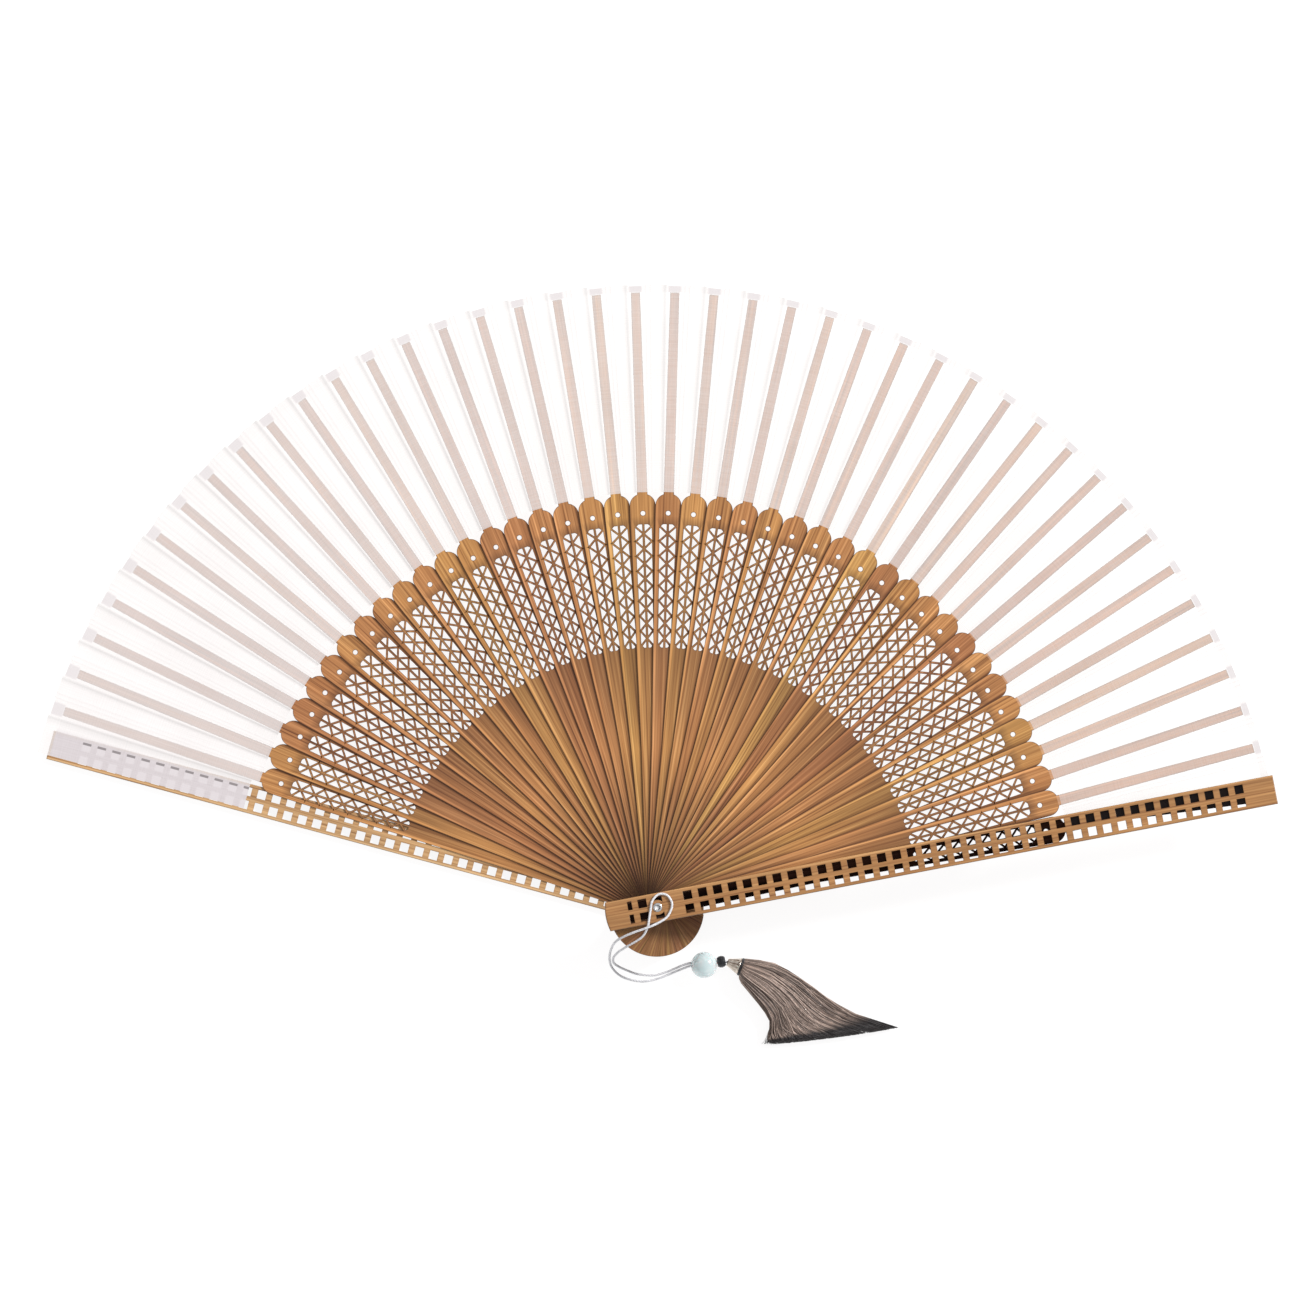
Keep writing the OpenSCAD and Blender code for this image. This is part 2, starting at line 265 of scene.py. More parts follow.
def pliedTube(line, look):
    bm = bmesh.new()
    uv = bm.loops.layers.uv.new("grain")
    normal = Vector((0, 0, 1))
    sides = look["sides"]
    rings, travelled = [], []
    run = 0.0
    for index, point in enumerate(line):
        ahead = (line[min(index + 1, len(line) - 1)] - line[max(index - 1, 0)]).normalized()
        normal = (normal - ahead * normal.dot(ahead)).normalized()
        side = ahead.cross(normal)
        ring = []
        for k in range(sides):
            angle = fullTurn * k / sides
            lobe = abs(math.cos(0.5 * look["plies"] * angle))
            radius = look["diameter"] / 2 * mm * (1 - look["groove"] * (1 - lobe))
            lay = angle + fullTurn * run / (look["twist"] * mm)
            ring.append(bm.verts.new(point + radius * (math.cos(lay) * normal + math.sin(lay) * side)))
        rings.append(ring)
        travelled.append(run)
        if index < len(line) - 1:
            run += (line[index + 1] - point).length
    for i, (first, second) in enumerate(zip(rings, rings[1:])):
        for k in range(sides):
            n = (k + 1) % sides
            face = bm.faces.new((first[k], first[n], second[n], second[k]))
            for loop, across in zip(face.loops, (k, k + 1, k + 1, k)):
                place = travelled[i] if loop.vert in first else travelled[i + 1]
                loop[uv].uv = (place, across / sides)
    bm.faces.new(rings[0][::-1])
    bm.faces.new(rings[-1])
    return bm


def silkCordMaterial(look):
    material, tree, shader = newMaterial("silverSilkCord")
    fibre = stretchedNoise(tree, uvMap(tree, "grain"), look["fibreScale"], 2.0)
    feed(tree, shader, {"Base Color": ramp(tree, fibre, look["colours"]), "Roughness": look["rough"],
                        "Specular IOR Level": look["shine"], "Sheen Weight": look["sheen"]})
    bumped(tree, shader, fibre, 0.3, look["fibreDepth"])
    return material


cordLine = smoothLine(cordInBead + cordRoute + cordToTassel, cordLook["steps"])
silkCord = newPiece("silkCord", pliedTube(cordLine, cordLook), silkCordMaterial(cordLook), smooth=True)
settle(silkCord, "root", "cord_silk", "tassel_cord")
print("cord:", round(lineLength(cordLine) / mm, 1), "mm")


# Bamboo: long fibres, pale and dark streaks, scorched where it was cut

ribLook = dict(chamfer=0.05, rim=0.19, bladeRim=0.25, innerBurn=0.55,   # rim: the scorched band's width
               bladeTo=78.0, latticeTo=119.0, latticeHalf=2.5,
               toneChoice=(0.1, 0.3, 0.35, 0.45, 0.5, 0.7), toneDrift=0.08, grainShift=0.031,
               tones=[(0.0, (0.42, 0.168, 0.064)), (0.35, (0.50, 0.222, 0.077)),
                      (0.7, (0.56, 0.288, 0.082)), (1.0, (0.65, 0.372, 0.132))],
               streaks=[(0.30, (0.32, 0.22, 0.15)), (0.43, (0.84, 0.78, 0.70)),
                        (0.56, (1.0, 1.0, 1.0)), (0.68, (1.45, 1.58, 1.75))],
               burnt=(0.04, 0.012, 0.005), wallBurn=0.96, rimBurn=0.8, rough=0.42, coat=0.1,
               # painted light: the strips above the shoulders are made paler, where the silk shades them
               shine=0.4, headShade=0.6, stripPaintedLight=(0.86, 0.56, 0.40), stripLightFrom=0.1292, stripLightShare=0.28,
               nextEdge=0.0639, flareFrom=0.5, flare=0.01554, waistHalf=0.029,   # outlines, in decimetres
               underShade=[(0.0, (0.34, 0.27, 0.22)), (0.004, (0.62, 0.56, 0.5)),
                           (0.011, (1.0, 1.0, 1.0))],
               # painted highlight along the rib's own edge
               edgeHighlight=[(0.0, (1.0, 1.0, 1.0)), (0.002, (1.24, 1.28, 1.34)),
                      (0.006, (1.18, 1.2, 1.24)), (0.012, (1.0, 1.0, 1.0))])
shadedBackingLook = dict(tones=[(0.0, (0.050, 0.018, 0.011)), (1.0, (0.070, 0.025, 0.015))],
                  coat=0.0, shine=0.05, stripPaintedLight=(0.05, 0.018, 0.011))   # the backing rib's changes: near-black painted shade, for the shadow it lies in under the front guard
guardLook = dict(edgeBevel=0.3, chamfer=0.08, rim=0.3, sideFrom=4.4, tipFrom=190.0, headFrom=14.5,
                 tones=[(0.0, (0.40, 0.185, 0.062)), (0.5, (0.43, 0.21, 0.075)),
                        (1.0, (0.56, 0.33, 0.15))],
                 streaks=[(0.30, (0.42, 0.30, 0.22)), (0.43, (0.86, 0.80, 0.74)),
                          (0.56, (1.0, 1.0, 1.0)), (0.68, (1.28, 1.36, 1.45))],
                 burnt=(0.018, 0.007, 0.004), wallBurn=0.95, rimBurn=0.10, rough=0.36, coat=0.2,
                 shine=0.4, headShade=0.95, flareFrom=0.5, flare=0.0, waistHalf=0.045,
                 # painted highlight along the guard's upper edge
                 edgeHighlight=[(0.0, (1.6, 1.75, 1.95)), (0.004, (1.5, 1.65, 1.85)),
                        (0.0065, (1.0, 1.0, 1.0))])
fibreLook = dict(streakScale=(16.0, 1500.0, 1.0), threadScale=(70.0, 5200.0, 1.0),
                 cloudScale=(28.0, 260.0, 1.0), cloudShades=(0.84, 1.12), threadShades=(0.86, 1.1),
                 headZone=(0.2, 0.5), roughSpread=0.12, threadDepth=0.00008, coatRough=0.35)


def shadedEdges(tree, colour, look):   # a painted highlight along a piece's own edge, and painted shade where the next rib lies over it
    plan = addNode(tree, "ShaderNodeSeparateXYZ", {"Vector": uvMap(tree, "place")})
    along, across = plan.outputs["X"], plan.outputs["Y"]
    flare = maths(tree, "MAXIMUM", maths(tree, "SUBTRACT", along, look["flareFrom"]), 0.0)
    half = maths(tree, "MULTIPLY_ADD", flare, look["flare"], look["waistHalf"])
    if "underShade" in look:
        behind = maths(tree, "MAXIMUM", maths(tree, "MULTIPLY", along, -2.0), 0.0)   # none past the pivot
        nextSide = maths(tree, "MULTIPLY_ADD", along, look["nextEdge"], across)
        gap = maths(tree, "ADD", maths(tree, "SUBTRACT", nextSide, half), behind)
        colour = multiplied(tree, colour, ramp(tree, gap, look["underShade"]))
    ownEdge = maths(tree, "SUBTRACT", half, across)
    return multiplied(tree, colour, ramp(tree, ownEdge, look["edgeHighlight"]))


def bambooMaterial(name, look):
    material, tree, shader = newMaterial(name)
    grain = uvMap(tree, "grain")
    streak = stretchedNoise(tree, grain, fibreLook["streakScale"], 3.0, Roughness=0.55)
    thread = stretchedNoise(tree, grain, fibreLook["threadScale"], 2.0, Roughness=0.6)
    cloud = stretchedNoise(tree, grain, fibreLook["cloudScale"], 2.0, Roughness=0.5)
    colour = ramp(tree, attribute(tree, "tone"), look["tones"])
    colour = multiplied(tree, colour, greyRamp(tree, cloud, 0.3, 0.7, *fibreLook["cloudShades"]))
    colour = multiplied(tree, colour, ramp(tree, streak, look["streaks"]))
    colour = multiplied(tree, colour, greyRamp(tree, thread, 0.3, 0.7, *fibreLook["threadShades"]))
    place = addNode(tree, "ShaderNodeTexCoord", {})
    fromPivot = addNode(tree, "ShaderNodeVectorMath", {0: place.outputs["Object"]},
                        operation="LENGTH").outputs["Value"]
    decimetres = maths(tree, "MULTIPLY", fromPivot, 10.0)
    nearPivot = greyRamp(tree, decimetres, *fibreLook["headZone"], look["headShade"], 1.0)
    colour = multiplied(tree, colour, nearPivot)
    if "stripPaintedLight" in look:   # the strips above the shoulders are mixed towards another colour: for the ribs a pale painted light against the silk's shadow on them, for the backing rib its near-black painted shade
        strip = maths(tree, "GREATER_THAN", fromPivot, look["stripLightFrom"])
        colour = mixed(tree, maths(tree, "MULTIPLY", strip, look["stripLightShare"]), colour, look["stripPaintedLight"])
    colour = shadedEdges(tree, colour, look)
    upright = addNode(tree, "ShaderNodeSeparateXYZ", {"Vector": place.outputs["Normal"]}).outputs["Z"]
    wall = greyRamp(tree, maths(tree, "ABSOLUTE", upright), 0.25, 0.75, look["wallBurn"], 0.0)
    rim = maths(tree, "MULTIPLY", attribute(tree, "scorch"), look["rimBurn"])
    colour = mixed(tree, rim, colour, look["burnt"])
    colour = mixed(tree, wall, colour, look["burnt"])
    rough = greyRamp(tree, streak, 0.3, 0.7, look["rough"] + fibreLook["roughSpread"], look["rough"])
    feed(tree, shader, {"Base Color": colour, "Roughness": rough, "Specular IOR Level": look["shine"],
                        "Coat Weight": look["coat"], "Coat Roughness": fibreLook["coatRough"]})
    bumped(tree, shader, thread, 0.25, fibreLook["threadDepth"])
    return material


def mergedCopy(nodeName):
    bm = bmesh.new()
    bm.from_mesh(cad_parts[nodeName].data)
    bmesh.ops.remove_doubles(bm, verts=bm.verts, dist=1e-6)
    return bm


def isRim(edge):
    flat = [abs(face.normal.z) > 0.9 for face in edge.link_faces]
    return len(flat) == 2 and flat[0] != flat[1]


def layGrain(bm, degrees, shift, tone):   # "place" is the plan about the pivot, in decimetres
    along, across = polar(1, degrees), polar(1, degrees + 90)
    grain, plan = bm.loops.layers.uv.new("grain"), bm.loops.layers.uv.new("place")
    for face in bm.faces:
        for loop in face.loops:
            place = loop.vert.co
            loop[grain].uv = (place.dot(along) + shift, place.dot(across) + place.z + shift)
            loop[plan].uv = (place.dot(along) * 10, place.dot(across) * 10)
    toneLayer = bm.verts.layers.float["tone"]
    for vert in bm.verts:
        vert[toneLayer] = tone


def finishRims(bm, chamfer, width):   # chamfers every rim, and marks the band that the cut scorched
    scorchLayer = bm.verts.layers.float.new("scorch")
    bm.verts.layers.float.new("tone")
    for vert in bm.verts:
        vert[scorchLayer] = 1.0
    for side in (1, -1):
        bm.normal_update()
        flats = [face for face in bm.faces if face.normal.z * side > 0.99]
        outline = {vert for face in flats for vert in face.verts}
        bmesh.ops.inset_region(bm, faces=flats, thickness=chamfer, use_even_offset=True, use_boundary=True)
        inner = {vert for face in flats for vert in face.verts}
        bmesh.ops.translate(bm, verts=list(outline - inner), vec=(0, 0, -side * chamfer))
        bmesh.ops.inset_region(bm, faces=flats, thickness=width, use_even_offset=True, use_boundary=True)
        for vert in {vert for face in flats for vert in face.verts}:
            vert[scorchLayer] = 0.0


def scorchRib(bm, index):   # pale rims on the blade, dark bars in the lattice
    scorchLayer = bm.verts.layers.float["scorch"]
    across = polar(1, ribAngle(index) + 90)
    for vert in bm.verts:
        reach, side = vert.co.xy.length / mm, vert.co.dot(across) / mm
        if reach < ribLook["bladeTo"]:
            vert[scorchLayer] *= ribLook["bladeRim"]
        elif reach < ribLook["latticeTo"] and abs(side) < ribLook["latticeHalf"]:
            vert[scorchLayer] = max(vert[scorchLayer], ribLook["innerBurn"])


def guardOutline(bm, degrees):   # the rims round the guard, without those of its windows
    along, across = polar(1, degrees), polar(1, degrees + 90)

    def isOuter(vert):
        isHead = vert.co.xy.length > guardLook["headFrom"] * mm and vert.co.dot(along) < 0
        isTip = vert.co.length > guardLook["tipFrom"] * mm
        return isHead or isTip or abs(vert.co.dot(across)) > guardLook["sideFrom"] * mm

    return [edge for edge in bm.edges if isRim(edge) and all(isOuter(vert) for vert in edge.verts)]


ribBamboo = bambooMaterial("carbonisedBamboo", ribLook)
# the backing rib gets a near-black colour: painted shade under the front guard
shadedBackingBamboo = bambooMaterial("shadedBackingBamboo", {**ribLook, **shadedBackingLook})
guardBamboo = bambooMaterial("polishedBamboo", guardLook)
random.seed(7)
for index in ribs:
    nodeName = "rib_%02d" % index
    bm = mergedCopy(nodeName)
    finishRims(bm, ribLook["chamfer"] * mm, ribLook["rim"] * mm)
    scorchRib(bm, index)
    tone = random.choice(ribLook["toneChoice"])
    tone += random.uniform(-ribLook["toneDrift"], ribLook["toneDrift"])
    layGrain(bm, ribAngle(index), index * ribLook["grainShift"], tone)
    hidden = index == backing
    blade = newPiece("ribBlade_%02d" % index, bm, shadedBackingBamboo if hidden else ribBamboo)
    settle(blade, "root" if hidden else nodeName, "rib_bamboo", nodeName)
print("ribs:", len(ribs))

for nodeName, body, degrees, shift, tone in (("rear_guard", "rear_guard", rearAngle, 3.1, 1.0),
                                             ("front_guard", "root", fan["frontAngle"], 5.7, 0.45)):
    bm = mergedCopy(nodeName)
    bmesh.ops.bevel(bm, geom=guardOutline(bm, degrees), offset=guardLook["edgeBevel"] * mm,
                    offset_type="OFFSET", affect="EDGES", segments=2, profile=0.5, material=-1)
    finishRims(bm, guardLook["chamfer"] * mm, guardLook["rim"] * mm)
    layGrain(bm, degrees, shift, tone)
    settle(newPiece(nodeName + "_bamboo", bm, guardBamboo), body, "guard_bamboo", nodeName)
print("guards: 2")


# Silk leaf: a gore from each rib to the next, glued on one and folded back before the other

leafLook = dict(lift=0.035, edgeStep=0.35, goreShift=0.017, slackAcross=1.02, slackAlong=1.01,
                foldLines=(-0.95, -1.38), foldHalf=0.07, foldLift=0.03,   # across the leaf, in degrees
                seam=0.7, patchHalf=0.5, riseFrom=1.05, riseTo=0.78,
                gapSteps=(1.9, 1.6, 1.3), rearGapSteps=(1.6,),
                rows=(0.4, 7.5, 15.5, 23.5, 31.5, 39.5, 47.5, 55.5),   # along it, in millimetres
                rowsTo=3.0, hemFrom=0.25, hemTo=0.4, hemRows=3)
leafTone = dict(hemDense=0.12, hemStain=0.02, patchDense=0.5, patchStain=0.06, foldDense=0.3,
                foldStain=0.05, thinning=0.52, thickening=0.22, thinSpan=160.0, windowShadow=0.6)
rearPatch = dict(dense=0.74, start=131.0, end=193.0, endStep=0.1,   # the silk glued on the rear guard
                 across=((3.3, 0), (3.0, 0), (1.3, 0), (-0.5, 0), (-2.3, 0), (-2.6, 0), (-2.72, 1),
                         (-3.35, 1), (-3.47, 0)),   # place across the guard, and 1 where windows show and their painted shadow falls
                 windowFirst=131.32, windowStep=4.675, windowCount=12, windowHalf=1.35, windowSoft=0.06)
# the silk under the front guard is darkened almost to black: painted shade
frontPatch = dict(inner=0.5, outer=-3.2, top=2.8, dense=0.3, stainAndShade=0.97, shares=(0.0, 0.35, 0.7, 1.0),
                  rise=((4.9, 0.0, 0.0), (4.4, 0.0, 0.0), (4.3, 0.0, 1.0), (4.1, 0.5, 1.0),
                        (3.85, 1.0, 1.0)))   # place across the guard, rise to the backing rib, hidden
foldLook = dict(radius=160.0, height=10.0, gore=(-2.1, 2.05), rear=(-1.9, 1.5), front=(-2.07, 1.9))
silkLook = dict(warpScale=(60.0, 3200.0, 1.0), weftScale=(3200.0, 60.0, 1.0), cloudScale=(45.0, 60.0, 1.0),
                colours=[(0.35, (0.90, 0.855, 0.835)), (0.65, (0.95, 0.905, 0.885))],
                denseColour=(0.60, 0.54, 0.57), stainAndShadeColour=(0.020, 0.007, 0.006),
                weaveCover=0.2, baseCover=0.31, denseCover=0.55, weaveDepth=0.00004,
                rough=0.55, shine=0.15, sheen=0.04, sheenRough=0.4)


def silkMaterial(look):
    material, tree, shader = newMaterial("whiteSilk")
    grain, dense, stainAndShade = uvMap(tree, "grain"), attribute(tree, "dense"), attribute(tree, "stainAndShade")
    warp = stretchedNoise(tree, grain, look["warpScale"], 2.0)
    weft = stretchedNoise(tree, grain, look["weftScale"], 2.0)
    weave = maths(tree, "ADD", warp, weft)
    colour = ramp(tree, stretchedNoise(tree, grain, look["cloudScale"], 2.0), look["colours"])
    colour = mixed(tree, dense, colour, look["denseColour"])
    # the dark mix: hem and fold tints, and painted shade and shadow where the guards cover the silk
    colour = mixed(tree, stainAndShade, colour, look["stainAndShadeColour"])
    cover = maths(tree, "MULTIPLY_ADD", weave, look["weaveCover"], look["baseCover"])
    cover = maths(tree, "MULTIPLY_ADD", dense, look["denseCover"], cover)
    cover = maths(tree, "ADD", cover, stainAndShade, use_clamp=True)
    feed(tree, shader, {"Base Color": colour, "Alpha": cover, "Roughness": look["rough"],
                        "Specular IOR Level": look["shine"], "Sheen Weight": look["sheen"],
                        "Sheen Roughness": look["sheenRough"]})
    bumped(tree, shader, weave, 0.2, look["weaveDepth"])
    return material


def leafEdge(degrees):
    return fan["leafOut"] + extraReach(fan["leafGrowth"], degrees)


def stripEnd(degrees):
    return fan["stripEnd"] + extraReach(fan["stripGrowth"], degrees)


def leafLevel(index):
    return ribTop(index) + leafLook["lift"]


def leafColumn(place, level, dense=0.0, stainAndShade=0.0, patch=False, short=False, mark=False):
    return dict(place=place, level=level, dense=dense, stainAndShade=stainAndShade, patch=patch, short=short, mark=mark)


def turnedTo(degrees):
    return lambda radius: polar(radius, degrees)


def acrossGuard(placeAcross, degrees):
    return lambda radius: onGuard(radius, placeAcross(radius), degrees)


def ribColumns(index):   # from the seam on the rib, over its strip and two folds
    look = leafLook
    glued = [(look["patchHalf"], True), (0.0, True), (-look["patchHalf"], True), (-look["seam"], False)]
    level = leafLevel(index)
    columns = [leafColumn(turnedTo(ribAngle(index) + look["seam"]), level, short=True)]
    columns += [leafColumn(turnedTo(ribAngle(index) + offset), level, patch=patch, short=True)
                for offset, patch in glued]
    for line in look["foldLines"]:
        for offset in (line + look["foldHalf"], line, line - look["foldHalf"]):
            isCrease = offset == line
            columns.append(leafColumn(turnedTo(ribAngle(index) + offset),
                                      level + (look["foldLift"] if isCrease else 0.0),
                                      dense=leafTone["foldDense"] if isCrease else 0.0,
                                      stainAndShade=leafTone["foldStain"] if isCrease else 0.0,
                                      short=offset > look["foldLines"][0]))
    return columns


def nextColumns(index, offsets):   # on towards rib index from its left neighbour, and up to its top
    look = leafLook
    middle = 0.5 * (look["riseFrom"] + look["riseTo"])
    columns = [(offset, 0.0) for offset in offsets]
    columns += [(look["riseFrom"], 0.0), (middle, 0.5), (look["riseTo"], 1.0), (look["seam"], 1.0)]
    low, high = leafLevel(index - 1), leafLevel(index)
    return [leafColumn(turnedTo(ribAngle(index) + offset), low + (high - low) * rise)
            for offset, rise in columns]


def rearColumns():
    return [leafColumn(acrossGuard(lambda radius, v=v: v, rearAngle), leafLevel(0),
                       dense=rearPatch["dense"], mark=mark) for v, mark in rearPatch["across"]]


def frontColumns():   # under the front guard: up to the backing rib, then across to the leaf's own edge; the hidden silk there is darkened almost to black, as painted shade
    look = frontPatch
    low, high = leafLevel(fan["ribCount"]), leafLevel(backing)
    slope = (look["outer"] - look["inner"]) / (fan["leafOut"] - fan["leafIn"])

    def column(placeAcross, rise, hidden):
        return leafColumn(acrossGuard(placeAcross, fan["frontAngle"]), low + (high - low) * rise,
                          dense=look["dense"] * hidden, stainAndShade=look["stainAndShade"] * hidden)

    def edgeShare(share):
        return lambda radius: look["top"] + share * (look["inner"] + slope * (radius - fan["leafIn"])
                                                     - look["top"])

    columns = [column(lambda radius, v=v: v, rise, hidden) for v, rise, hidden in look["rise"]]
    return columns + [column(edgeShare(share), 1.0, 1.0) for share in look["shares"]]


windowCentres = [rearPatch["windowFirst"] + k * rearPatch["windowStep"]
                 for k in range(rearPatch["windowCount"])]


def goreRadii(start, degrees, isRear):
    tip, edge = stripEnd(degrees), leafEdge(degrees)
    inner = [start + row for row in leafLook["rows"] if start + row < tip - leafLook["rowsTo"]]
    radii = [start, *inner, tip, tip + leafLook["hemFrom"], edge - leafLook["hemTo"], edge]
    if isRear:
        soft = rearPatch["windowSoft"]
        radii += [centre + side * rearPatch["windowHalf"] + step
                  for centre in windowCentres for side in (-1, 1) for step in (-soft, soft)]
        radii += [rearPatch["end"], rearPatch["end"] + rearPatch["endStep"]]
        radii = sorted(radius for radius in radii if radius >= start)
    return radii


def goreTone(column, radius, isHem, isRear):   # how dense the silk is at a point, and how dark: real tint on hems and folds, painted shade under the front guard, painted shadow at the rear guard's windows
    kind = "patch" if column["patch"] else "hem"
    inWindow = any(abs(radius - centre) < rearPatch["windowHalf"] for centre in windowCentres)
    dense = 0.0 if isRear and radius > rearPatch["end"] else column["dense"]
    if isHem:
        dense = max(dense, leafTone[kind + "Dense"])
    # painted shadow of the rear guard's window edges, seen through the silk
    stainAndShade = max(column["stainAndShade"], leafTone[kind + "Stain"] if isHem else 0.0,
                leafTone["windowShadow"] if column["mark"] and inWindow else 0.0)
    return dense, stainAndShade


def leafGore(index, columns, degrees):
    isRear = index == 0
    bm = bmesh.new()
    uv = bm.loops.layers.uv.new("grain")
    denseLayer, stainLayer = (bm.verts.layers.float.new(key) for key in ("dense", "stainAndShade"))
    radii = goreRadii(rearPatch["start"] if isRear else fan["leafIn"], degrees, isRear)
    thin = leafTone["thinning"] * (1 - degrees / leafTone["thinSpan"]) - leafTone["thickening"]
    grid = []
    for row, radius in enumerate(radii):
        line = []
        for column in columns:
            step = leafLook["edgeStep"] if column["short"] and row >= len(radii) - 2 else 0.0
            vert = bm.verts.new((column["place"](radius - step) + Vector((0, 0, column["level"]))) * mm)
            dense, stainAndShade = goreTone(column, radius, row >= len(radii) - leafLook["hemRows"], isRear)
            vert[denseLayer] = dense if dense > 0 else -thin   # sheerer towards the front guard
            vert[stainLayer] = stainAndShade
            line.append(vert)
        grid.append(line)
    shift = index * leafLook["goreShift"]
    for inner, outer in zip(grid, grid[1:]):
        for k in range(len(columns) - 1):
            face = bm.faces.new((inner[k], inner[k + 1], outer[k + 1], outer[k]))
            for loop in face.loops:
                place = loop.vert.co
                turn = math.atan2(place.y, place.x) - math.radians(degrees)
                loop[uv].uv = (place.xy.length + shift, turn * place.xy.length + shift)
    area = sum(face.calc_area() for face in bm.faces)
    width = (grid[-1][0].co - grid[-1][-1].co).length * leafLook["slackAcross"]
    length = max((grid[0][k].co - grid[-1][k].co).length for k in (0, -1)) * leafLook["slackAlong"]
    return newPiece("leafGore_%02d" % index, bm, whiteSilk, smooth=True), width, length, area


def acrossFold(degrees, middle, reach):   # where a gore's fold begins and ends
    centre = polar(foldLook["radius"], degrees + middle)
    side = polar(reach, degrees + middle + 90)
    height = Vector((0, 0, foldLook["height"]))
    return (centre + side + height) * mm, (centre - side + height) * mm


whiteSilk = silkMaterial(silkLook)
leafArea = 0.0
for index in range(backing):
    isRear, isFront = index == 0, index == fan["ribCount"]
    degrees = rearAngle if isRear else ribAngle(index)
    if isRear:
        columns, fold = rearColumns() + nextColumns(1, leafLook["rearGapSteps"]), foldLook["rear"]
    elif isFront:
        columns, fold = ribColumns(index) + frontColumns(), foldLook["front"]
    else:
        columns = ribColumns(index) + nextColumns(index + 1, leafLook["gapSteps"])
        fold = foldLook["gore"]
    gore, width, length, area = leafGore(index, columns, degrees)
    start, end = acrossFold(degrees, *fold)
    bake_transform(gore, "rear_guard" if isRear else "rib_%02d" % index,
             "root" if isFront else "rib_%02d" % (index + 1), start=start, end=end)
    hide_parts("silk_leaf")
    leafArea += area
print("leaf:", backing, "gores,", round(leafArea * 1e4), "square centimetres")


# Turned pieces: eyelet, beads, cap and band

def turned(profile, steps):   # spins a closed profile of (radius, height) pairs about Z
    bm = bmesh.new()
    verts = [bm.verts.new((radius * mm, 0, height * mm)) for radius, height in profile]
    edges = [bm.edges.new(pair) for pair in zip(verts, verts[1:] + verts[:1])]
    bmesh.ops.spin(bm, geom=verts + edges, cent=(0, 0, 0), axis=(0, 0, 1), angle=fullTurn, steps=steps,
                   use_merge=True, use_duplicate=False)
    bmesh.ops.remove_doubles(bm, verts=bm.verts, dist=1e-7)
    bmesh.ops.recalc_face_normals(bm, faces=bm.faces)
    return bm


def stood(bm, centre, direction):
    turn = Vector(direction).to_track_quat("Z", "Y").to_matrix().to_4x4()
    bmesh.ops.transform(bm, matrix=Matrix.Translation(Vector(centre) * mm) @ turn, verts=bm.verts)
    return bm


def ball(radius, bore, count):   # the profile of a bored ball
    start = math.degrees(math.asin(bore / radius))
    turns = [math.radians(start + (180 - 2 * start) * k / count) for k in range(count + 1)]
    return [(radius * math.sin(turn), -radius * math.cos(turn)) for turn in turns]


def metalMaterial(name, look):
    material, tree, shader = newMaterial(name)
    spots = noise(tree, objectPlace(tree), look["spotScale"], 3.0)
    feed(tree, shader, {
        "Base Color": ramp(tree, spots, [(0.35, look["dull"]), (0.65, look["bright"])]),
        "Roughness": greyRamp(tree, spots, 0.3, 0.7, look["rough"] + look["roughSpread"], look["rough"]),
        "Metallic": 1.0})
    return material


eyeletLook = dict(holeRadius=0.75, tubeRadius=1.0, rimRadius=1.4, stackTop=22.508, rimTop=22.808, steps=48,
                  spotScale=900.0, dull=(0.45, 0.45, 0.46), bright=(0.72, 0.72, 0.73),
                  rough=0.25, roughSpread=0.15)
eyeletMetal = metalMaterial("nickelSilver", eyeletLook)
hole, tube, rim = (eyeletLook[key] for key in ("holeRadius", "tubeRadius", "rimRadius"))
low, top = eyeletLook["stackTop"], eyeletLook["rimTop"]
eyeletProfile = [(hole, 0.0), (hole, top - 0.14), (hole + 0.03, top - 0.06), (hole + 0.1, top - 0.01),
                 (hole + 0.2, top), (rim - 0.2, top - 0.02), (rim - 0.06, top - 0.08), (rim, top - 0.17),
                 (rim - 0.02, low + 0.03), (rim - 0.08, low), (tube, low), (tube, 0.0)]
eyeletTube = newPiece("eyeletTube", turned(eyeletProfile, eyeletLook["steps"]), eyeletMetal, smooth=True)
settle(eyeletTube, "root", "eyelet_metal", "eyelet")
washerProfile = [(tube, 0.0), (tube, 0.3), (rim - 0.08, 0.3), (rim, 0.22), (rim, 0.08), (rim - 0.08, 0.0)]
washer = newPiece("eyeletWasher", turned(washerProfile, eyeletLook["steps"]), eyeletMetal)
settle(washer, "root", "eyelet_metal", "eyelet_washer")


glassLook = dict(centre=(15.0, -17.4, 4.1), axis=(1.0, 0.04, -0.02), radius=4.1, bore=0.95, arcs=28,
                 steps=48, colours=[(0.35, (0.76, 0.89, 0.91)), (0.65, (0.86, 0.95, 0.96))],
                 clear=0.35, bend=1.5, milky=0.4, milkyReach=(0.002, 0.003, 0.003), coat=0.5)
jetLook = dict(centre=(20.3, -16.4, 3.9), angle=10.7, radius=1.85, half=1.25, bore=0.6, sides=12,
               colours=[(0.4, (0.004, 0.005, 0.007)), (0.7, (0.02, 0.022, 0.028))])


def beadGlass(look):
    material, tree, shader = newMaterial("cloudyAquaGlass")
    cloud = noise(tree, objectPlace(tree), 260.0, 3.0, Distortion=0.8)
    feed(tree, shader, {"Base Color": ramp(tree, cloud, look["colours"]),
                        "Roughness": greyRamp(tree, cloud, 0.35, 0.7, 0.16, 0.08),
                        "Transmission Weight": look["clear"], "IOR": look["bend"],
                        "Subsurface Weight": look["milky"], "Subsurface Radius": look["milkyReach"],
                        "Coat Weight": look["coat"]})
    return material


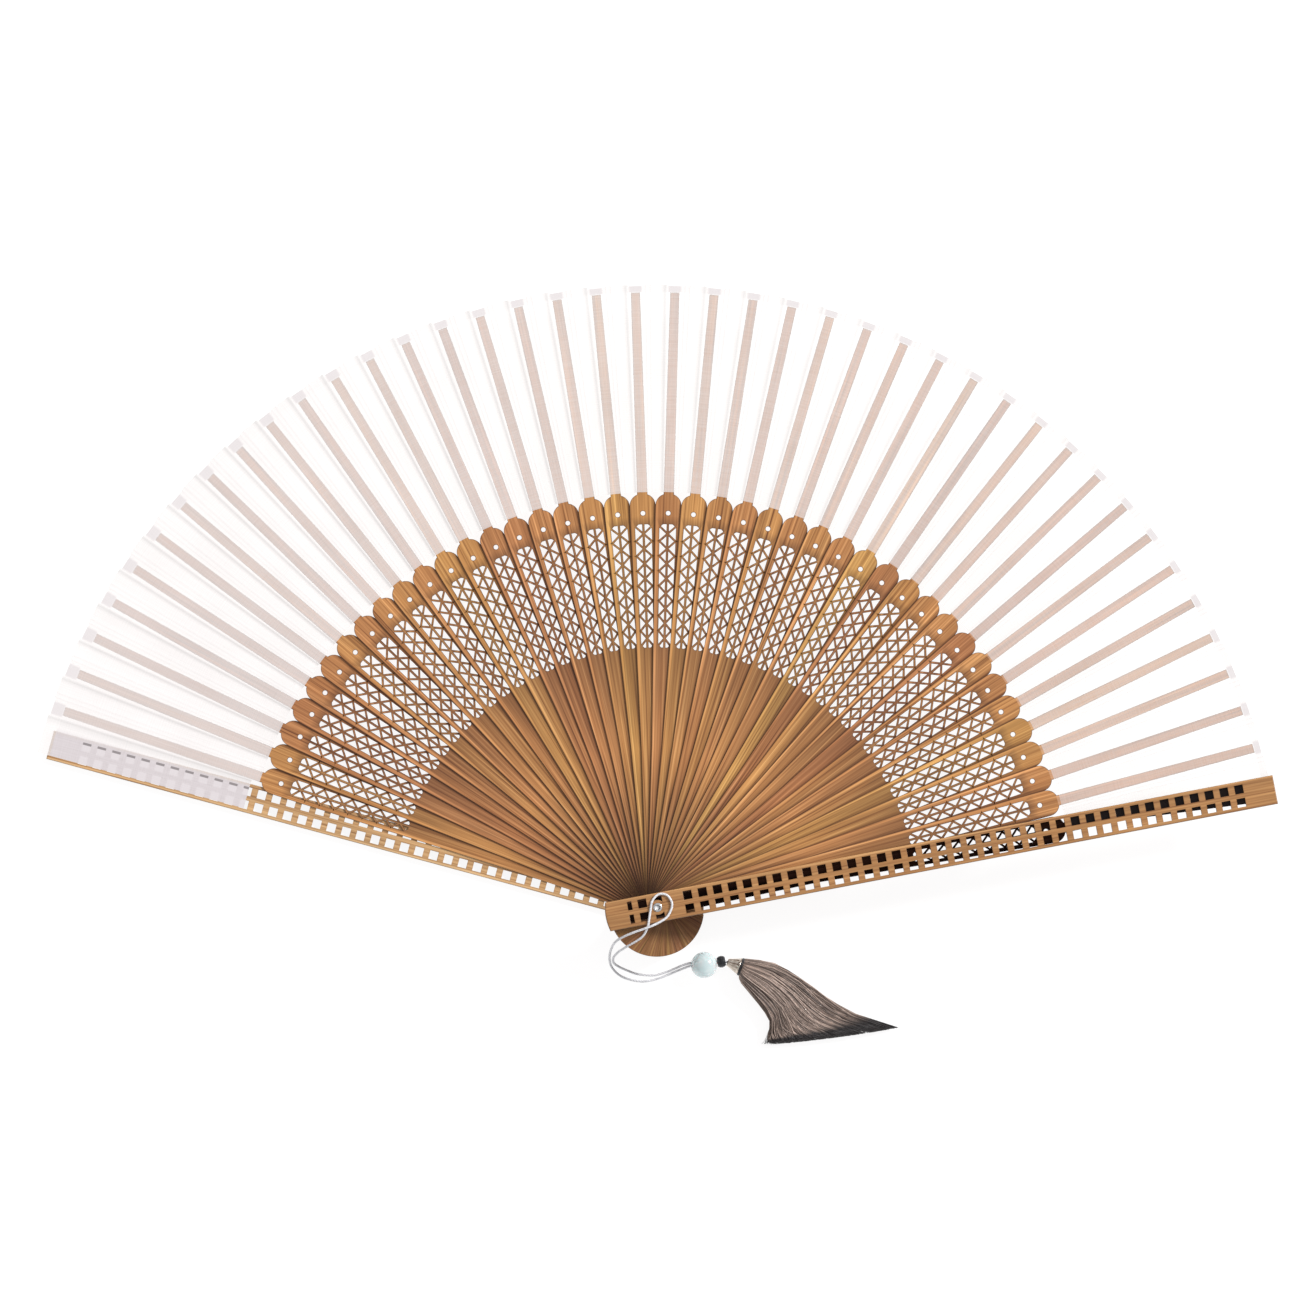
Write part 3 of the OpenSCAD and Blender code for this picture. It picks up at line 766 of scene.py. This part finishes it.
def jetMaterial(look):
    material, tree, shader = newMaterial("blackJet")
    speck = noise(tree, objectPlace(tree), 1500.0, 2.0)
    feed(tree, shader, {"Base Color": ramp(tree, speck, look["colours"]),
                        "Roughness": greyRamp(tree, speck, 0.3, 0.7, 0.3, 0.16)})
    return material


bm = turned(ball(glassLook["radius"], glassLook["bore"], glassLook["arcs"]), glassLook["steps"])
aquaBead = newPiece("aquaBead", stood(bm, glassLook["centre"], glassLook["axis"]), beadGlass(glassLook),
                    smooth=True)
settle(aquaBead, "root", "aqua_glass", "aqua_bead")

small, half, bore = jetLook["radius"], jetLook["half"], jetLook["bore"]
shoulder = math.sqrt(small ** 2 - half ** 2)
jetProfile = [(bore, -half), (shoulder, -half), (small * 0.93, -half * 0.55), (small, 0.0),
              (small * 0.93, half * 0.55), (shoulder, half), (bore, half)]
bm = stood(turned(jetProfile, jetLook["sides"]), jetLook["centre"], polar(1, jetLook["angle"]))
blackBead = newPiece("blackBead", bm, jetMaterial(jetLook))
settle(blackBead, "root", "black_thread", "black_bead")

capLook = dict(centre=(22.18, -16.5, 3.7), angle=-19.2, length=4.1, steps=72, bandLength=0.6, bandSteps=48,
               flutes=12, depth=0.12, flutesFrom=0.2, flutesTo=3.4,
               outerFrom=1.1, outerStart=1.0, outerSlope=0.38,   # beyond this cone lies the outside
               spotScale=500.0, dull=(0.50, 0.42, 0.35), bright=(0.90, 0.82, 0.73),
               rough=0.24, roughSpread=0.15)
capProfile = [(0.55, 0.0), (0.95, 0.0), (1.14, 0.08), (1.22, 0.3), (1.36, 0.7), (1.6, 1.4), (1.88, 2.1),
              (2.14, 2.8), (2.32, 3.3), (2.36, 3.5), (2.5, 3.62), (2.58, 3.78), (2.58, 3.94),
              (2.5, 4.08), (2.3, 4.1), (2.1, 3.9), (1.8, 3.1), (1.2, 1.4), (0.75, 0.55), (0.55, 0.4)]


def fluted(bm, look):
    for vert in bm.verts:
        reach, height = vert.co.xy.length / mm, vert.co.z / mm
        isOuter = reach > look["outerFrom"] and reach > look["outerStart"] + look["outerSlope"] * height
        if isOuter and look["flutesFrom"] < height < look["flutesTo"]:
            wave = 0.5 - 0.5 * math.cos(look["flutes"] * math.atan2(vert.co.y, vert.co.x))
            scale = 1 - look["depth"] * wave
            vert.co.x *= scale
            vert.co.y *= scale
    return bm


champagne = metalMaterial("champagneMetal", capLook)
capAxis = polar(1, capLook["angle"])
bm = stood(fluted(turned(capProfile, capLook["steps"]), capLook), capLook["centre"], capAxis)
tasselCap = newPiece("tasselCap", bm, champagne, smooth=True)
settle(tasselCap, "root", "cap_metal", "tassel_cap")


def threadMaterial(name, look):
    material, tree, shader = newMaterial(name)
    fleck = noise(tree, objectPlace(tree), 700.0, 2.0)
    colour = ramp(tree, attribute(tree, "shade"), look["shades"])
    colour = multiplied(tree, colour, greyRamp(tree, fleck, 0.3, 0.7, 0.8, 1.15))
    end = greyRamp(tree, attribute(tree, "along"), look["darkFrom"], look["darkTo"])
    feed(tree, shader, {"Base Color": mixed(tree, end, colour, look["ends"]),
                        "Roughness": greyRamp(tree, fleck, 0.3, 0.7, 0.55, 0.4), "Sheen Weight": 0.2})
    return material


bandThread = threadMaterial("darkBandThread", dict(
    shades=[(0.0, (0.012, 0.011, 0.014)), (1.0, (0.05, 0.045, 0.055))],
    darkFrom=0.95, darkTo=1.0, ends=(0.01, 0.01, 0.012)))
bandProfile = [(2.0, 0.0), (2.7, 0.0), (2.82, 0.07), (2.85, 0.15), (2.82, 0.23), (2.76, 0.3), (2.82, 0.37),
               (2.85, 0.45), (2.82, 0.53), (2.7, 0.6), (2.0, 0.6)]
bandCentre = Vector(capLook["centre"]) + capAxis * capLook["length"]
bm = stood(turned(bandProfile, capLook["bandSteps"]), bandCentre, capAxis)
capBand = newPiece("capBand", bm, bandThread, smooth=True)
settle(capBand, "root", "dark_band", "cap_ring")
print("turned pieces: 6")


# Tassel: threads that spread from the band, dark at their cut ends

skirtGap = 0.02   # from the band to the threads
footPlace = Vector(capLook["centre"]) + capAxis * (capLook["length"] + capLook["bandLength"] + skirtGap)
skirtCuts = [   # middle, half width, half height, direction in degrees
    (footPlace, 2.6, 2.6, 70.8), ((27.6, -19.3, 3.7), 3.8, 3.6, 74), ((34.3, -23.1, 3.3), 6.7, 3.2, 69),
    ((40.0, -28.0, 2.8), 8.1, 2.7, 55), ((43.6, -32.9, 2.4), 10.7, 2.3, 33),
    ((47.8, -36.5, 2.0), 14.6, 1.9, 16), ((54.0, -39.2, 1.7), 21.3, 1.6, 7)]
tasselLook = dict(threads=1150, points=12, radius=0.17, locks=60, length=36.0, bulge=1.7, uneven=0.006,
                  wave=0.022, drift=0.022, turns=(0.7, 1.6), lift=0.12, gather=0.06,   # of the locks
                  ownWave=0.05, ownTurns=8.0, ownPhase=20.0, circle=6.28, spin=6.0, spinAcross=60.0,
                  lockTone=0.3, threadTone=(-0.1, 0.8), thickness=(0.75, 1.2), fade=0.02,   # of the threads
                  taper=0.35, leastOut=0.45, clearance=0.02,
                  shades=[(0.0, (0.045, 0.026, 0.02)), (0.45, (0.22, 0.155, 0.125)),
                          (1.0, (0.66, 0.50, 0.42))],
                  darkFrom=0.83, darkTo=0.9, ends=(0.012, 0.007, 0.008))
coreLook = dict(share=0.86, flatten=0.8, sides=16, steps=14, end=0.93)   # the bulk under the threads


def skirtPoint(share, x, y):   # share: 0 at the band, 1 at the last cut; x and y: in the cut, -1 to 1
    cuts = [[*middle, *sizes] for middle, *sizes in skirtCuts]
    before = [2 * a - b for a, b in zip(cuts[0], cuts[1])]
    after = [2 * a - b for a, b in zip(cuts[-1], cuts[-2])]
    cuts = [before, *cuts, after]
    place = min(share, 0.9999) * (len(skirtCuts) - 1)
    k, t = int(place), place - int(place)
    cut = [splinePoint(*values, t) for values in zip(*cuts[k:k + 4])]
    return Vector(cut[:3]) + polar(cut[3] * x, cut[5]) + Vector((0, 0, cut[4] * y))


def skirtCore(look):
    bm = bmesh.new()
    loops = []
    for step in range(look["steps"] + 1):
        share = look["end"] * step / look["steps"]
        ring = []
        for k in range(look["sides"]):
            turn = fullTurn * k / look["sides"]
            x, y = look["share"] * math.cos(turn), look["share"] * look["flatten"] * math.sin(turn)
            ring.append(bm.verts.new(skirtPoint(share, x, y) * mm))
        loops.append([bm.edges.new(pair) for pair in zip(ring, ring[1:] + ring[:1])])
    for first, second in zip(loops, loops[1:]):
        bmesh.ops.bridge_loops(bm, edges=first + second)
    bmesh.ops.holes_fill(bm, edges=loops[0] + loops[-1], sides=look["sides"])
    bmesh.ops.recalc_face_normals(bm, faces=bm.faces)
    for key in ("along", "shade"):   # left at 0, the darkest thread
        bm.verts.layers.float.new(key)
    return bm


def threadPlace(look, lock, thread, t):   # t: 0 at the band, a little past 1 at the thread's end
    turn = lock["phase"] + look["circle"] * lock["turns"] * t
    ownTurn = look["ownTurns"] * t + thread["shade"] * look["ownPhase"]
    sway = lock["drift"] * t + look["wave"] * t * math.sin(turn) + thread["own"] * math.sin(ownTurn)
    x = min(1.0, max(-1.0, thread["x"] + sway))
    y = thread["y"] * (1 - look["gather"] * t) + lock["lift"] * t * (1 - thread["y"] ** 2)
    here = skirtPoint(min(t, 1.0), x, y)
    if t > 1.0:
        ahead = (skirtPoint(1.0, x, y) - skirtPoint(0.95, x, y)).normalized()
        here += ahead * (t - 1.0) * look["length"]
    here.z = max(here.z, thread["radius"] + look["clearance"])
    return here


def drawThread(look, locks):
    turn, out = random.uniform(0, fullTurn), math.sqrt(random.uniform(look["leastOut"], 1.0))
    x, y = out * math.cos(turn), out * math.sin(turn)
    lock = locks[min(look["locks"] - 1, int((x + 1) / 2 * look["locks"]))]
    tone = look["lockTone"] * lock["tone"] + random.uniform(*look["threadTone"])
    end = 1.0 + look["bulge"] / look["length"] * (1 - x * x) - abs(random.gauss(0, look["uneven"]))
    radius = look["radius"] * random.uniform(*look["thickness"])
    own = abs(random.gauss(0, look["ownWave"]))
    return lock, dict(x=x, y=y, shade=min(1.0, max(0.0, tone)), end=end, radius=radius, own=own)


def skirtThreads(look):
    bm = bmesh.new()
    alongLayer, shadeLayer = (bm.verts.layers.float.new(key) for key in ("along", "shade"))
    random.seed(11)
    locks = [dict(phase=random.uniform(0, look["circle"]), drift=random.gauss(0, look["drift"]),
                  tone=random.uniform(0, 1), turns=random.uniform(*look["turns"]),
                  lift=random.uniform(-look["lift"], look["lift"])) for _ in range(look["locks"])]
    for _ in range(look["threads"]):
        lock, thread = drawThread(look, locks)
        rings = []
        for k in range(look["points"] + 1):
            here = threadPlace(look, lock, thread, thread["end"] * k / look["points"])
            size = thread["radius"] * (look["taper"] if k == look["points"] else 1.0)
            ring = []
            for side in range(3):
                spin = fullTurn * side / 3 + thread["shade"] * look["spin"]
                around = polar(size * math.cos(spin), look["spinAcross"])
                around.z = size * math.sin(spin)
                vert = bm.verts.new((here + around) * mm)
                along = k / look["points"] + random.uniform(-look["fade"], look["fade"])
                vert[alongLayer] = min(1.0, along)
                vert[shadeLayer] = thread["shade"]
                ring.append(vert)
            rings.append(ring)
        for first, second in zip(rings, rings[1:]):
            for side in range(3):
                n = (side + 1) % 3
                bm.faces.new((first[side], first[n], second[n], second[side]))
        bm.faces.new(rings[0][::-1])
        bm.faces.new(rings[-1])
    bmesh.ops.recalc_face_normals(bm, faces=bm.faces)
    return bm


tasselThread = threadMaterial("greyTasselThread", tasselLook)
threads = newPiece("tasselThreads", skirtThreads(tasselLook), tasselThread, smooth=True)
settle(threads, "root", "tassel_thread", "tassel_skirt")
core = newPiece("tasselCore", skirtCore(coreLook), tasselThread, smooth=True)
settle(core, "root", "tassel_thread", "tassel_skirt")
print("tassel:", tasselLook["threads"], "threads")


# Floor and light

lightLook = dict(floorSize=1.6, floorDrop=0.2, floorGlow=0.88, glowColour=(1.0, 0.995, 0.995, 1.0),
                 floorColours=[(0.3, (0.20, 0.198, 0.198)), (0.7, (0.21, 0.208, 0.208))],
                 floorRough=0.7, floorShine=0.1, skyStrength=0.62, sunStrength=2.9, sunSpread=12.0,
                 sunFrom=(1.0, 0.62, 0.85))


def floorMaterial(look):
    material, tree, shader = newMaterial("paleFloor")
    cloud = noise(tree, objectPlace(tree), 3.0, 1.0)
    feed(tree, shader, {"Base Color": ramp(tree, cloud, look["floorColours"]),
                        "Roughness": look["floorRough"], "Specular IOR Level": look["floorShine"],
                        "Emission Color": look["glowColour"], "Emission Strength": look["floorGlow"]})
    return material


bm = bmesh.new()
bmesh.ops.create_grid(bm, x_segments=1, y_segments=1, size=lightLook["floorSize"])
bmesh.ops.translate(bm, vec=(0, 0, -lightLook["floorDrop"] * mm), verts=bm.verts)
newPiece("floor", bm, floorMaterial(lightLook))

sunData = bpy.data.lights.new("studioSun", "SUN")
sunData.energy = lightLook["sunStrength"]
sunData.angle = math.radians(lightLook["sunSpread"])
studioSun = bpy.data.objects.new("studioSun", sunData)
studioSun.rotation_euler = Vector(lightLook["sunFrom"]).to_track_quat("Z", "Y").to_euler()
bpy.context.scene.collection.objects.link(studioSun)

sky = bpy.data.worlds.new("paleSky")
sky.use_nodes = True
feed(sky.node_tree, sky.node_tree.nodes["Background"],
     {"Color": (1.0, 1.0, 1.0, 1.0), "Strength": lightLook["skyStrength"]})
bpy.context.scene.world = sky
bpy.context.scene.view_settings.view_transform = "Standard"
print("light: set")
